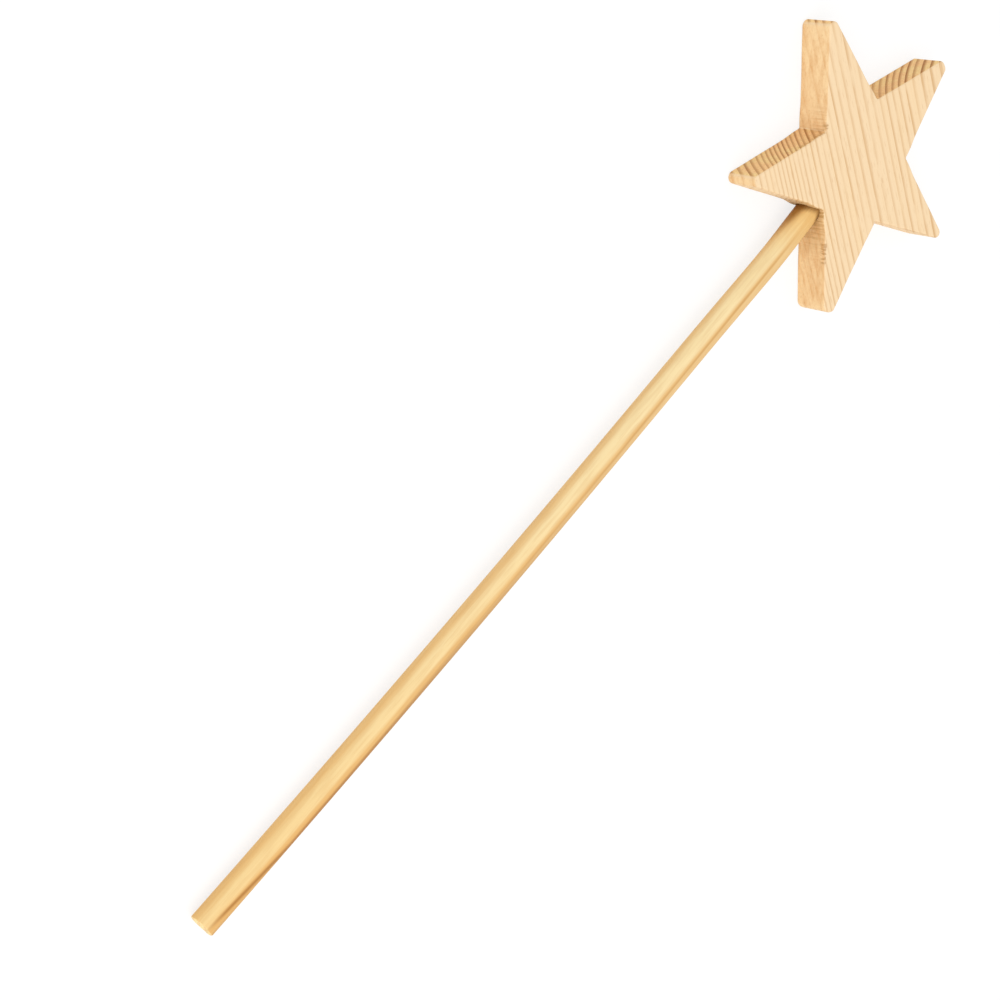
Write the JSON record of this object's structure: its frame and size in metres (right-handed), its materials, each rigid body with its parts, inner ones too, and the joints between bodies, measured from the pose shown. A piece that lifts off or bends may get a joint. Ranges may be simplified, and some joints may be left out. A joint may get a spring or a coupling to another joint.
{
  "type": "toy magic wand",
  "caption": "Pretend-play wand: a thick sawn wooden star with rounded points, glued by a blind hole in one notch onto a long plain round wooden stick.",
  "frame": {"origin": "centre of the star's back face, where the wand lies on a table", "axes": "+Z out of the star's front face, +Y from the stick through the star's centre to the opposite point, +X to the right seen from the front"},
  "size_m": [0.091, 0.3605, 0.012],
  "materials": {
    "star_wood": "bare sanded softwood with fine growth rings",
    "stick_wood": "bare sanded dowel",
    "glue": "set wood glue"
  },
  "bodies": {
    "root": {"star_head": "star_wood", "stick": "stick_wood", "glue_joint": "glue"}
  },
  "joints": []
}
